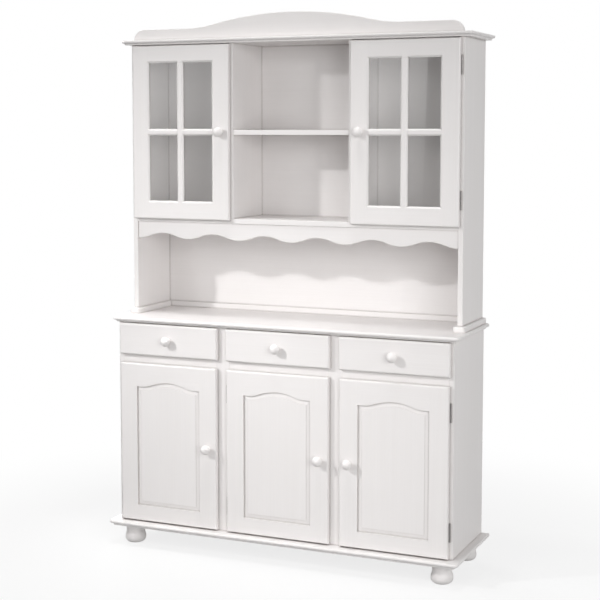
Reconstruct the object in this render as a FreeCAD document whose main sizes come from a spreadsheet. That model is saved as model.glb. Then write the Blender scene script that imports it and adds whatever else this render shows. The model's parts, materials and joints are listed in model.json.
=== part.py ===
import FreeCAD, Part
import math
import operator
import os
from types import SimpleNamespace

import Sketcher
from FreeCAD import Vector

# A painted dresser in two stacked pieces: a sideboard with three drawers over three
# cupboards, and a shallower hutch with two glazed cupboards beside an open middle.
# Millimetres. The origin lies on the floor under the middle of the whole piece,
# X runs to the right, Y to the back and Z up, so the doors face -Y.

SIZES = {
    # Boards that both pieces share
    "board": 18,
    "back_board": 5,
    # Sideboard carcass, outside its side panels and between floor board and top board
    "base_width": 1290,
    "base_depth": 350,
    "carcass_height": 743,
    # Floor board under the sideboard, with a bead over a cove along its edge
    "floor_thickness": 21,
    "floor_side": 30,
    "floor_front": 48,
    "floor_bead": 12,
    "floor_root": 2,
    # Top board of the sideboard
    "top_thickness": 19,
    "top_side": 20,
    "top_front": 25,
    "top_bead": 13,
    "top_root": 7,
    # Turned bun feet
    "foot_height": 69,
    "foot_sole": 24,
    "foot_bulge": 39,
    "foot_bulge_height": 18,
    "foot_neck": 34.5,
    "foot_collar": 31,
    "foot_side_inset": 45,
    "foot_front_inset": 26,
    "foot_back_inset": 45,
    # Face frame and shelves of the sideboard
    "stile_width": 50,
    "frame_thickness": 20,
    "rail_height": 47,
    "drawer_opening": 111,
    "shelf_height": 290,
    "shelf_setback": 40,
    # Drawers
    "drawer_front": 18,
    "drawer_front_gap": 0.4,
    "drawer_front_round": 7,
    "drawer_overlap": 7.5,
    "drawer_lip": 8,
    "drawer_top_gap": 3,
    "drawer_side": 12,
    "drawer_side_height": 96,
    "drawer_back_gap": 45,
    "drawer_lift": 4,
    "drawer_play": 2,
    "drawer_bottom": 4,
    "drawer_bottom_lift": 10,
    "drawer_groove": 6,
    "drawer_groove_play": 0.3,
    "slide_height": 20,
    "slide_play": 0.3,
    # Frames of all doors
    "door_thickness": 16,
    "door_round": 6,
    # Cupboard doors
    "door_overlap": 4.7,
    "door_bottom_gap": 4,
    "door_lip": 8,
    "door_stile": 68,
    "door_top_rail": 66,
    "door_bottom_rail": 59,
    "arch_rise": 20,
    "arch_flat": 25,
    "arch_crown_share": 0.68,
    # Raised and fielded panels
    "panel_groove": 8,
    "panel_room": 1,
    "panel_play": 0.3,
    "panel_tongue": 5,
    "panel_inset": 4,
    "panel_bevel": 16,
    "panel_step": 1.5,
    "panel_recess": 2.5,
    # Glazed doors
    "glazed_overlap": 6.5,
    "glazed_top_gap": 4,
    "glazed_stile": 68,
    "glazed_top_rail": 63,
    "glazed_bottom_rail": 67,
    "upright_width": 27,
    "cross_width": 24,
    "lattice_thickness": 8,
    "pane_bevel": 6,
    "pane_bevel_depth": 5,
    "rebate": 8,
    "glass": 3,
    "glass_play": 0.5,
    # Turned knobs
    "knob_radius": 18,
    "knob_projection": 32,
    "knob_flange": 12,
    "knob_neck": 8.5,
    "knob_stem": 8,
    "knob_flare": 9,
    "knob_rim": 4,
    "door_knob_inset": 34.5,
    "door_knob_height": 295,
    "glazed_knob_inset": 34,
    # Hinges, two on each door
    "hinge_length": 65,
    "hinge_inset": 90,
    "knuckle_radius": 2.6,
    "knuckle_lift": 0.3,
    "knuckle_clear": 0.4,
    "knuckle_gap": 0.3,
    "pin_radius": 1.5,
    "pin_play": 0.05,
    "leaf_thickness": 1,
    "leaf_play": 0.4,
    "leaf_width": 25,
    "leaf_wrap": 16,
    # Hutch carcass, inset from the sides of the sideboard
    "hutch_inset": 5,
    "hutch_setback": 102,
    "niche_height": 346,
    "cabinet_height": 650,
    "centre_width": 446,
    "hutch_shelf_height": 303,
    "hutch_shelf_setback": 25,
    # Runner feet under the hutch sides
    "runner_width": 43,
    "runner_height": 20,
    "runner_nose": 19,
    "runner_corner": 14,
    "runner_round": 5,
    # Scalloped apron over the niche
    "apron_height": 63,
    "apron_wave": 20,
    "apron_waves": 6,
    "apron_thickness": 16,
    "apron_setback": 4,
    "apron_round": 3,
    # Cornice and crest board
    "cornice_thickness": 17,
    "cornice_side": 34,
    "cornice_front": 26,
    "cornice_bead": 10,
    "cornice_root": 2,
    "crest_thickness": 18,
    "crest_inset": 7,
    "crest_setback": 3,
    "crest_shoulder": 39,
    "crest_rise": 48,
    "crest_span": 410,
    "crest_crown_share": 0.75,
    "crest_end_run": 40,
    "crest_round": 3,
    # How far a moulding cutter runs past the wood
    "cutter_margin": 2,
}

BAYS = {"left": -1, "middle": 0, "right": 1}
SIDES = {"left": -1, "right": 1}
DOOR_HANGS = {"left": -1, "middle": -1, "right": 1}

PLANE_NORMALS = {"XY_Plane": 1, "XZ_Plane": -1, "YZ_Plane": 1}
SAME_PLACE = 1e-4


class Length:
    """A size that carries both its formula over the sheet and its present value."""

    def __init__(self, text, value):
        self.text = text
        self.value = value

    def __add__(self, other):
        return joined(self, "+", other)

    def __radd__(self, other):
        return joined(other, "+", self)

    def __sub__(self, other):
        return joined(self, "-", other)

    def __rsub__(self, other):
        return joined(other, "-", self)

    def __mul__(self, other):
        return joined(self, "*", other)

    def __rmul__(self, other):
        return joined(other, "*", self)

    def __truediv__(self, other):
        return joined(self, "/", other)

    def __neg__(self):
        return joined(0, "-", self)


WORK = {"+": operator.add, "-": operator.sub, "*": operator.mul, "/": operator.truediv}


def length(size):
    """A plain number as a Length. A Length comes back as it is."""
    return size if isinstance(size, Length) else Length(str(float(size)), float(size))


def joined(first, sign, second):
    """Two sizes worked together, both as formula and as value."""
    first = length(first)
    second = length(second)
    return Length(f"({first.text} {sign} {second.text})", WORK[sign](first.value, second.value))


class Corner:
    """A corner of an outline. With a turn, the edge to the next corner is an arc."""

    def __init__(self, across, along, turn=None, radius=None):
        self.across = length(across)
        self.along = length(along)
        self.turn = turn
        self.radius = radius


doc = FreeCAD.newDocument("Dresser")
sheet = doc.addObject("Spreadsheet::Sheet", "Sizes")
for row, (alias, value) in enumerate(SIZES.items(), start=1):
    sheet.set(f"A{row}", alias)
    sheet.set(f"B{row}", str(value))
    sheet.setAlias(f"B{row}", alias)
doc.recompute()
size = SimpleNamespace(**{alias: Length(f"Sizes.{alias}", float(sheet.get(alias))) for alias in SIZES})


# Places worked out from the sizes

hinge_gap = 2 * size.leaf_thickness + size.leaf_play
front_reach = hinge_gap + size.door_thickness + size.knob_projection
face = (front_reach - size.base_depth) / 2
back = face + size.base_depth
back_inside = back - size.back_board

side_inside = size.base_width / 2 - size.board
bay_opening = (2 * side_inside - 2 * size.stile_width) / 3
bay_pitch = bay_opening + size.stile_width

floor_top = size.foot_height + size.floor_thickness
carcass_top = floor_top + size.carcass_height
rail_top = carcass_top - size.drawer_opening
rail_low = rail_top - size.rail_height
slab_top = carcass_top + size.top_thickness

hutch_face = face + size.hutch_setback
hutch_half = size.base_width / 2 - size.hutch_inset
hutch_inside = hutch_half - size.board
runner_top = slab_top + size.runner_height
hutch_floor_low = slab_top + size.niche_height
hutch_floor_top = hutch_floor_low + size.board
hutch_top = hutch_floor_low + size.cabinet_height
hutch_shelf_low = hutch_floor_top + size.hutch_shelf_height
cornice_top = hutch_top + size.cornice_thickness
partition_outside = size.centre_width / 2 + size.board


# Ways of making a piece

def mirrored(side, near, far):
    """Low and high end of a stretch from near to far on one side of the middle."""
    return (near, far) if side > 0 else (-far, -near)


def board(label, across, deep, high):
    """A plain board between two places along X, Y and Z."""
    piece = doc.addObject("Part::Box", label)
    piece.Label = label
    stretches = (("Length", "x", across), ("Width", "y", deep), ("Height", "z", high))
    for extent, axis, (low, top) in stretches:
        piece.setExpression(extent, (top - low).text)
        piece.setExpression(f"Placement.Base.{axis}", length(low).text)
    return piece


def upright_cylinder(label, centre, radius, high):
    """A round bar standing along Z between two heights."""
    piece = doc.addObject("Part::Cylinder", label)
    low, top = high
    piece.setExpression("Radius", radius.text)
    piece.setExpression("Height", (top - low).text)
    for axis, place in zip("xyz", (*centre, low)):
        piece.setExpression(f"Placement.Base.{axis}", place.text)
    return piece


def group(label, members):
    """Separate solids of one kind that share a node."""
    piece = doc.addObject("Part::Compound", label)
    piece.Label = label
    piece.Links = members
    return piece


def start_body(label, **places):
    """An empty body, moved to the given places along the axes."""
    body = doc.addObject("PartDesign::Body", label)
    body.Label = label
    for axis, place in places.items():
        body.setExpression(f"Placement.Base.{axis}", place.text)
    return body


def arc_between(first, last, radius, turn):
    """An arc of less than a half circle that turns left or right on its way."""
    chord = last - first
    sideways = Vector(-chord.y, chord.x, 0).normalize()
    rise = math.sqrt(radius ** 2 - (chord.Length / 2) ** 2)
    centre = (first + last) / 2 + sideways * (rise if turn == "left" else -rise)
    start, stop = (first, last) if turn == "left" else (last, first)
    angles = [math.atan2(point.y - centre.y, point.x - centre.x) for point in (start, stop)]
    return Part.ArcOfCircle(Part.Circle(centre, Vector(0, 0, 1), radius), *angles)


def hold_point(sketch, edge, end, corner):
    """Hold one end of an edge at its place from the sketch's origin."""
    origin = horizontal_axis = -1
    vertical_axis = -2
    held = (("DistanceX", vertical_axis, corner.across), ("DistanceY", horizontal_axis, corner.along))
    for kind, axis, place in held:
        if place.value == 0:
            sketch.addConstraint(Sketcher.Constraint("PointOnObject", edge, end, axis))
        else:
            constraint = Sketcher.Constraint(kind, origin, 1, edge, end, place.value)
            index = sketch.addConstraint(constraint)
            sketch.setExpression(f"Constraints[{index}]", place.text)


def draw(sketch, corners, closed):
    """Draw the edges through the corners and bind every corner and radius to the sheet."""
    edges = []
    goals = corners[1:] + corners[:1] if closed else corners[1:]
    for corner, goal in zip(corners, goals):
        first = Vector(corner.across.value, corner.along.value, 0)
        last = Vector(goal.across.value, goal.along.value, 0)
        if corner.turn is None:
            edge = sketch.addGeometry(Part.LineSegment(first, last))
        else:
            edge = sketch.addGeometry(arc_between(first, last, corner.radius.value, corner.turn))
            index = sketch.addConstraint(Sketcher.Constraint("Radius", edge, corner.radius.value))
            sketch.setExpression(f"Constraints[{index}]", corner.radius.text)
        start, stop = (2, 1) if corner.turn == "right" else (1, 2)
        edges.append((edge, start, stop))
    followers = edges[1:] + edges[:1] if closed else edges[1:]
    for (edge, _, stop), (follower, start, _) in zip(edges, followers):
        sketch.addConstraint(Sketcher.Constraint("Coincident", edge, stop, follower, start))
    for (edge, start, _), corner in zip(edges, corners):
        hold_point(sketch, edge, start, corner)
    if not closed:
        last_edge, _, stop = edges[-1]
        hold_point(sketch, last_edge, stop, corners[-1])


def sketch_on(body, plane, place, corners, closed=True):
    """An outline on a plane of the body's own, at a place along the plane's axis."""
    sketch = body.newObject("Sketcher::SketchObject", f"{body.Name}_outline")
    support = next(item for item in body.Origin.OriginFeatures if item.Role == plane)
    sketch.AttachmentSupport = [(support, "")]
    sketch.MapMode = "FlatFace"
    sketch.setExpression("AttachmentOffset.Base.z", (PLANE_NORMALS[plane] * place).text)
    draw(sketch, corners, closed)
    return sketch


def add_pad(body, plane, corners, low, high):
    """Pad an outline between two places along the plane's axis."""
    start = low if PLANE_NORMALS[plane] > 0 else high
    pad = body.newObject("PartDesign::Pad", f"{body.Name}_pad")
    pad.Profile = sketch_on(body, plane, start, corners)
    pad.setExpression("Length", (high - low).text)
    return pad


def layered(label, plane, layers, **places):
    """A piece built up of flat layers, each an outline between two places."""
    body = start_body(label, **places)
    for corners, low, high in layers:
        add_pad(body, plane, corners, low, high)
    return body


def edges_at(body, **planes):
    """Names of the edges that lie in all of the given planes of the finished shape."""
    doc.recompute()
    names = []
    for number, edge in enumerate(body.Tip.Shape.Edges, start=1):
        box = edge.BoundBox
        ends = {"x": (box.XMin, box.XMax), "y": (box.YMin, box.YMax), "z": (box.ZMin, box.ZMax)}
        gaps = [abs(end - place.value) for axis, place in planes.items() for end in ends[axis]]
        if max(gaps) < SAME_PLACE:
            names.append(f"Edge{number}")
    return names


def round_edges(body, names, radius):
    """Round the named edges of a body."""
    base = body.Tip
    fillet = body.newObject("PartDesign::Fillet", f"{body.Name}_round")
    fillet.Base = (base, names)
    fillet.setExpression("Radius", radius.text)


def turned(label, plane, corners, **places):
    """A piece turned about the second axis of the plane that its half outline lies on."""
    body = start_body(label, **places)
    profile = sketch_on(body, plane, length(0), corners)
    turning = body.newObject("PartDesign::Revolution", f"{label}_turning")
    turning.Profile = profile
    turning.ReferenceAxis = (profile, ["V_Axis"])
    turning.Angle = 360
    return body


def rectangle(across, along):
    """Four corners between two places each way."""
    (left, right), (low, high) = across, along
    return [Corner(left, low), Corner(right, low), Corner(right, high), Corner(left, high)]


def sagged_radius(run, sag):
    """Radius of an arc that leaves its tangent by the sag over the run."""
    return (run * run + sag * sag) / (2 * sag)


def arched_edge(half, shoulder, rise, share, out=length(0)):
    """Corners of a shaped edge from right to left: a crown between two reversed curves.

    The crown takes its share of the rise and the reversed curves the rest. The edge
    can be moved out, square to itself, and its arcs stay tangent.
    """
    both = sagged_radius(half, rise)
    crown = share * both
    reverse = both - crown
    turn_across = (crown + out) * half / both
    turn_along = shoulder + rise - crown + (crown + out) * (both - rise) / both
    return [
        Corner(half, shoulder + out, "right", reverse - out),
        Corner(turn_across, turn_along, "left", crown + out),
        Corner(-turn_across, turn_along, "right", reverse - out),
        Corner(-half, shoulder + out),
    ]


def moulded_board(label, half, front, low, thickness, bead, root):
    """A board with a bead over a cove along its sides and front, its corners rounded to the cove's root."""
    body = start_body(label)
    top = low + thickness
    quarter = bead / 2
    cove = thickness - bead
    corner = quarter + cove + root
    right = [Corner(half, back), Corner(half, front + corner, "right", corner)]
    left = [Corner(-half + corner, front, "right", corner), Corner(-half, front + corner)]
    outline = [*right, Corner(half - corner, front), *left, Corner(-half, back)]
    blank = add_pad(body, "XY_Plane", outline, low, top)

    start = back + size.cutter_margin
    path = sketch_on(body, "XY_Plane", low, [Corner(half, start), *outline[1:-1], Corner(-half, start)],
                     closed=False)
    bead_in = half - quarter
    cove_in = bead_in - cove
    outside = half + size.cutter_margin
    above = top + size.cutter_margin
    below = low - size.cutter_margin
    waste = [
        Corner(bead_in, top, "right", quarter),
        Corner(half, top - quarter, "right", quarter),
        Corner(bead_in, top - bead, "left", cove),
        Corner(cove_in, low),
        Corner(cove_in, below),
        Corner(outside, below),
        Corner(outside, above),
        Corner(bead_in, above),
    ]
    cutter = sketch_on(body, "XZ_Plane", start, waste)
    moulding = body.newObject("PartDesign::SubtractivePipe", f"{label}_moulding")
    moulding.Profile = cutter
    moulding.Spine = path
    doc.recompute()
    if body.Shape.Volume >= blank.Shape.Volume:
        raise RuntimeError(f"{label}: the moulding cut nothing")
    return body


# Sideboard carcass

def sideboard():
    """Fixed pieces of the sideboard."""
    between = (floor_top, carcass_top)
    behind_frame = face + size.frame_thickness
    pieces = [
        moulded_board("base_floor", size.base_width / 2 + size.floor_side, face - size.floor_front,
                      size.foot_height, size.floor_thickness, size.floor_bead, size.floor_root),
        moulded_board("base_top", size.base_width / 2 + size.top_side, face - size.top_front,
                      carcass_top, size.top_thickness, size.top_bead, size.top_root),
        board("base_back", (-side_inside, side_inside), (back_inside, back), between),
    ]
    for name, side in SIDES.items():
        across = mirrored(side, side_inside, size.base_width / 2)
        pieces.append(board(f"base_side_{name}", across, (face, back), between))

    partitions = []
    stiles = []
    for name, side in SIDES.items():
        middle = side * bay_pitch / 2
        across = (middle - size.board / 2, middle + size.board / 2)
        partitions.append(board(f"partition_{name}", across, (behind_frame, back_inside), between))
        across = (middle - size.stile_width / 2, middle + size.stile_width / 2)
        stiles.append(board(f"stile_{name}", across, (face, behind_frame), between))

    rails = []
    shelves = []
    slides = []
    shelf_low = floor_top + size.shelf_height
    slide_top = rail_top + size.drawer_lift - size.slide_play
    for name, bay in BAYS.items():
        middle = bay * bay_pitch
        across = (middle - bay_opening / 2, middle + bay_opening / 2)
        rails.append(board(f"rail_{name}", across, (face, behind_frame), (rail_low, rail_top)))
        walls = bay_walls(bay)
        shelves.append(board(f"shelf_{name}", walls, (face + size.shelf_setback, back_inside),
                             (shelf_low, shelf_low + size.board)))
        drawer_inside = bay_opening / 2 - size.drawer_play - size.drawer_side
        stretches = {"left": (walls[0], middle - drawer_inside), "right": (middle + drawer_inside, walls[1])}
        for hand, across in stretches.items():
            slides.append(board(f"slide_{name}_{hand}", across, (behind_frame, back_inside),
                                (slide_top - size.slide_height, slide_top)))
    pieces.append(group("base_partitions", partitions))
    pieces.append(group("base_face_stiles", stiles))
    pieces.append(group("base_face_rails", rails))
    pieces.append(group("base_shelves", shelves))
    pieces.append(group("drawer_runners", slides))
    pieces.append(group("bun_feet", bun_feet()))
    return pieces


def bay_walls(bay):
    """Inner faces of the boards on both sides of a bay."""
    left = bay * bay_pitch - bay_pitch / 2 + size.board / 2 if bay >= 0 else -side_inside
    right = bay * bay_pitch + bay_pitch / 2 - size.board / 2 if bay <= 0 else side_inside
    return left, right


def bun_feet():
    """Four feet, each swelling from its sole to a bulge under a short straight collar."""
    neck_low = size.foot_height - size.foot_collar
    lower = sagged_radius(size.foot_bulge_height, size.foot_bulge - size.foot_sole)
    upper = sagged_radius(neck_low - size.foot_bulge_height, size.foot_bulge - size.foot_neck)
    outline = [
        Corner(0, 0),
        Corner(size.foot_sole, 0, "left", lower),
        Corner(size.foot_bulge, size.foot_bulge_height, "left", upper),
        Corner(size.foot_neck, neck_low),
        Corner(size.foot_neck, size.foot_height),
        Corner(0, size.foot_height),
    ]
    rows = {"front": face + size.foot_front_inset, "back": back - size.foot_back_inset}
    feet = []
    for row_name, deep in rows.items():
        for name, side in SIDES.items():
            across = side * (size.base_width / 2 - size.foot_side_inset)
            feet.append(turned(f"foot_{row_name}_{name}", "XZ_Plane", outline, x=across, y=deep))
    return feet


# Hutch carcass

def hutch():
    """Fixed pieces of the hutch."""
    upper = (hutch_floor_top, hutch_top)
    shelf = (hutch_shelf_low, hutch_shelf_low + size.board)
    runner_middle = hutch_half - size.board / 2
    rail_end = runner_middle - size.runner_width / 2
    inside = (-hutch_inside, hutch_inside)
    centre = (-size.centre_width / 2, size.centre_width / 2)
    pieces = [
        board("hutch_back_rail", (-rail_end, rail_end), (back - size.board, back), (slab_top, runner_top)),
        board("hutch_floor", inside, (hutch_face, back_inside), (hutch_floor_low, hutch_floor_top)),
        board("hutch_back", inside, (back_inside, back), (runner_top, hutch_top)),
        board("hutch_centre_shelf", centre, (hutch_face, back_inside), shelf),
        moulded_board("hutch_cornice", hutch_half + size.cornice_side,
                      hutch_face - size.cornice_front, hutch_top, size.cornice_thickness,
                      size.cornice_bead, size.cornice_root),
        apron(),
        crest(),
    ]
    runners = []
    partitions = []
    shelves = []
    for name, side in SIDES.items():
        outside = mirrored(side, hutch_inside, hutch_half)
        pieces.append(board(f"hutch_side_{name}", outside, (hutch_face, back), (runner_top, hutch_top)))
        across = mirrored(side, size.centre_width / 2, partition_outside)
        partitions.append(board(f"hutch_partition_{name}", across, (hutch_face, back_inside), upper))
        across = mirrored(side, partition_outside, hutch_inside)
        shelves.append(board(f"hutch_shelf_{name}", across,
                             (hutch_face + size.hutch_shelf_setback, back_inside), shelf))
        runners.append(runner(f"hutch_runner_{name}", side * runner_middle))
    pieces.append(group("hutch_partitions", partitions))
    pieces.append(group("hutch_side_shelves", shelves))
    pieces.append(group("hutch_runners", runners))
    return pieces


def runner(label, middle):
    """A long foot under a hutch side, with a round nose at the front and soft top edges."""
    half = size.runner_width / 2
    front = hutch_face - size.runner_nose
    turn = size.runner_corner
    outline = [
        Corner(-half, back),
        Corner(-half, front + turn, "left", turn),
        Corner(-half + turn, front),
        Corner(half - turn, front, "left", turn),
        Corner(half, front + turn),
        Corner(half, back),
    ]
    body = layered(label, "XY_Plane", [(outline, slab_top, runner_top)], x=middle)
    at_back = edges_at(body, z=runner_top, y=back)
    round_edges(body, [name for name in edges_at(body, z=runner_top) if name not in at_back],
                size.runner_round)
    return body


def apron():
    """A board under the hutch floor whose lower edge rises and falls in even waves."""
    low = hutch_floor_low - size.apron_height
    waves = round(size.apron_waves.value)
    half_wave = hutch_inside / waves
    radius = sagged_radius(half_wave, size.apron_wave) / 2
    outline = [Corner(hutch_inside, low, "right", radius)]
    for step in range(2 * waves):
        across = hutch_inside - (step + 0.5) * half_wave
        turn = "left" if step % 2 == 0 else "right"
        outline.append(Corner(across, low + size.apron_wave / 2, turn, radius))
    outline.append(Corner(-hutch_inside, low))
    outline.append(Corner(-hutch_inside, hutch_floor_low))
    outline.append(Corner(hutch_inside, hutch_floor_low))
    front = hutch_face + size.apron_setback
    body = layered("hutch_apron", "XZ_Plane", [(outline, front, front + size.apron_thickness)])
    square = edges_at(body, y=front, z=hutch_floor_low)
    for side in SIDES.values():
        square += edges_at(body, y=front, x=side * hutch_inside)
    round_edges(body, [name for name in edges_at(body, y=front) if name not in square], size.apron_round)
    return body


def crest():
    """The shaped board on the cornice: round ends, flat shoulders and a long low crown."""
    half = hutch_half - size.crest_inset
    shoulder = cornice_top + size.crest_shoulder
    run = size.crest_end_run
    end_radius = sagged_radius(run, size.crest_shoulder)
    outline = [
        Corner(half, cornice_top, "left", end_radius),
        Corner(half - run, shoulder),
        *arched_edge(size.crest_span, shoulder, size.crest_rise, size.crest_crown_share),
        Corner(-half + run, shoulder, "left", end_radius),
        Corner(-half, cornice_top),
    ]
    front = hutch_face + size.crest_setback
    body = layered("hutch_crest", "XZ_Plane", [(outline, front, front + size.crest_thickness)])
    seat = edges_at(body, y=front, z=cornice_top)
    round_edges(body, [name for name in edges_at(body, y=front) if name not in seat], size.crest_round)
    return body


# Knobs and hinges

def knob(label, across, front, high):
    """A turned knob: a flange, a waisted stem and a domed head with a bead at its rim."""
    quarter = size.knob_rim / 2
    head = size.knob_radius - quarter
    under = size.knob_stem + size.knob_flare
    over = under + size.knob_rim
    stem_radius = sagged_radius(size.knob_stem, size.knob_flange - size.knob_neck)
    flare_radius = sagged_radius(size.knob_flare, head - size.knob_neck)
    dome_radius = sagged_radius(head, size.knob_projection - over)
    outline = [
        Corner(0, 0),
        Corner(size.knob_flange, 0, "left", stem_radius),
        Corner(size.knob_neck, -size.knob_stem, "left", flare_radius),
        Corner(head, -under, "right", quarter),
        Corner(size.knob_radius, -under - quarter, "right", quarter),
        Corner(head, -over, "right", dome_radius),
        Corner(0, -size.knob_projection),
    ]
    return turned(label, "XY_Plane", outline, x=across, y=front, z=high)


def tube_with_plates(label, plates, knuckles, bore):
    """A hinge leaf: plates joined to rolled knuckles, all bored for the pin."""
    solid = doc.addObject("Part::MultiFuse", f"{label}_solid")
    solid.Shapes = plates + knuckles
    solid.Refine = True
    leaf = doc.addObject("Part::Cut", label)
    leaf.Base = solid
    leaf.Tool = bore
    return leaf


def hinge(label, hang, edge, overlap, plane, middle):
    """Pin, frame leaf and door leaf of one hinge at the hanging edge of a closed door.

    The frame leaf lies on the frame's face and wraps round into the opening. It carries
    the outer knuckles and the door leaf the middle one.
    """
    axis_out = size.knuckle_clear + size.knuckle_radius
    axis = (edge + hang * axis_out, plane - size.knuckle_lift - size.knuckle_radius)
    low = middle - size.hinge_length / 2
    high = middle + size.hinge_length / 2
    inner_half = size.hinge_length / 6 - size.knuckle_gap / 2
    inner = (middle - inner_half, middle + inner_half)
    outers = ((low, inner[0] - size.knuckle_gap), (inner[1] + size.knuckle_gap, high))

    def stretch(start, stop):
        """Stretch along X, with its ends measured outwards from the door's edge."""
        near, far = edge + hang * length(start), edge + hang * length(stop)
        return (near, far) if hang > 0 else (far, near)

    door_deep = (plane - hinge_gap, plane - hinge_gap + size.leaf_thickness)
    frame_deep = (plane - size.leaf_thickness, plane)
    bore_radius = size.pin_radius + size.pin_play

    pin = upright_cylinder(f"{label}_pin", axis, size.pin_radius, (low, high))
    door_leaf = tube_with_plates(
        f"{label}_door_leaf",
        [
            board(f"{label}_door_plate", stretch(-size.leaf_width, 0), door_deep, (low, high)),
            board(f"{label}_door_tongue", stretch(0, axis_out), door_deep, inner),
        ],
        [upright_cylinder(f"{label}_door_knuckle", axis, size.knuckle_radius, inner)],
        upright_cylinder(f"{label}_door_bore", axis, bore_radius, (low, high)),
    )
    wrap = stretch(-overlap - size.leaf_thickness, -overlap)
    wrap_deep = (plane - size.leaf_thickness, plane + size.leaf_wrap)
    lying = stretch(-overlap - size.leaf_thickness, 0)
    frame_leaf = tube_with_plates(
        f"{label}_frame_leaf",
        [
            board(f"{label}_frame_plate", lying, frame_deep, (low, high)),
            board(f"{label}_frame_wrap", wrap, wrap_deep, (low, high)),
            *[board(f"{label}_frame_tongue", stretch(0, axis_out), frame_deep, outer) for outer in outers],
        ],
        [upright_cylinder(f"{label}_frame_knuckle", axis, size.knuckle_radius, outer) for outer in outers],
        upright_cylinder(f"{label}_frame_bore", axis, bore_radius, (low, high)),
    )
    return SimpleNamespace(pin=pin, door=door_leaf, frame=frame_leaf)


def hang_door(door, hang, edge, overlap, plane, low, high):
    """Two hinges at the ends of a door's hanging edge, with their door leaves grouped."""
    heights = {"low": low + size.hinge_inset, "high": high - size.hinge_inset}
    hinges = [hinge(f"{door}_{end}", hang, edge, overlap, plane, middle) for end, middle in heights.items()]
    return group(f"{door}_hinges", [item.door for item in hinges]), hinges


# Drawers

def drawer(name, bay):
    """A drawer: rounded front, grooved sides, back, bottom and knob."""
    middle = bay * bay_pitch
    front_back = face - size.drawer_front_gap
    front_face = front_back - size.drawer_front
    half = bay_opening / 2 + size.drawer_overlap
    low = rail_top - size.drawer_lip
    high = carcass_top - size.drawer_top_gap
    front = layered(f"{name}_drawer_front", "XZ_Plane",
                    [(rectangle((-half, half), (low, high)), front_face, front_back)], x=middle)
    round_edges(front, edges_at(front, y=front_face), size.drawer_front_round)

    outside = bay_opening / 2 - size.drawer_play
    inside = outside - size.drawer_side
    box_low = rail_top + size.drawer_lift
    box_high = box_low + size.drawer_side_height
    box_back = back_inside - size.drawer_back_gap
    bottom = (box_low + size.drawer_bottom_lift, box_low + size.drawer_bottom_lift + size.drawer_bottom)
    members = []
    for hand, side in SIDES.items():
        cheek = mirrored(side, inside + size.drawer_groove, outside)
        lip = mirrored(side, inside, inside + size.drawer_groove)
        deep = (front_back, box_back)
        layers = [
            (rectangle(deep, (box_low, box_high)), *cheek),
            (rectangle(deep, (box_low, bottom[0] - size.drawer_groove_play)), *lip),
            (rectangle(deep, (bottom[1] + size.drawer_groove_play, box_high)), *lip),
        ]
        members.append(layered(f"{name}_drawer_side_{hand}", "YZ_Plane", layers, x=middle))
    members.append(board(f"{name}_drawer_back", (middle - inside, middle + inside),
                         (box_back - size.drawer_side, box_back), (bottom[1], box_high)))
    bottom_half = inside + size.drawer_groove - size.drawer_groove_play
    return [
        front,
        group(f"{name}_drawer_box", members),
        board(f"{name}_drawer_bottom", (middle - bottom_half, middle + bottom_half),
              (front_back, box_back), bottom),
        knob(f"{name}_drawer_knob", middle, front_face, (low + high) / 2),
    ]


# Cupboard doors

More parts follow.
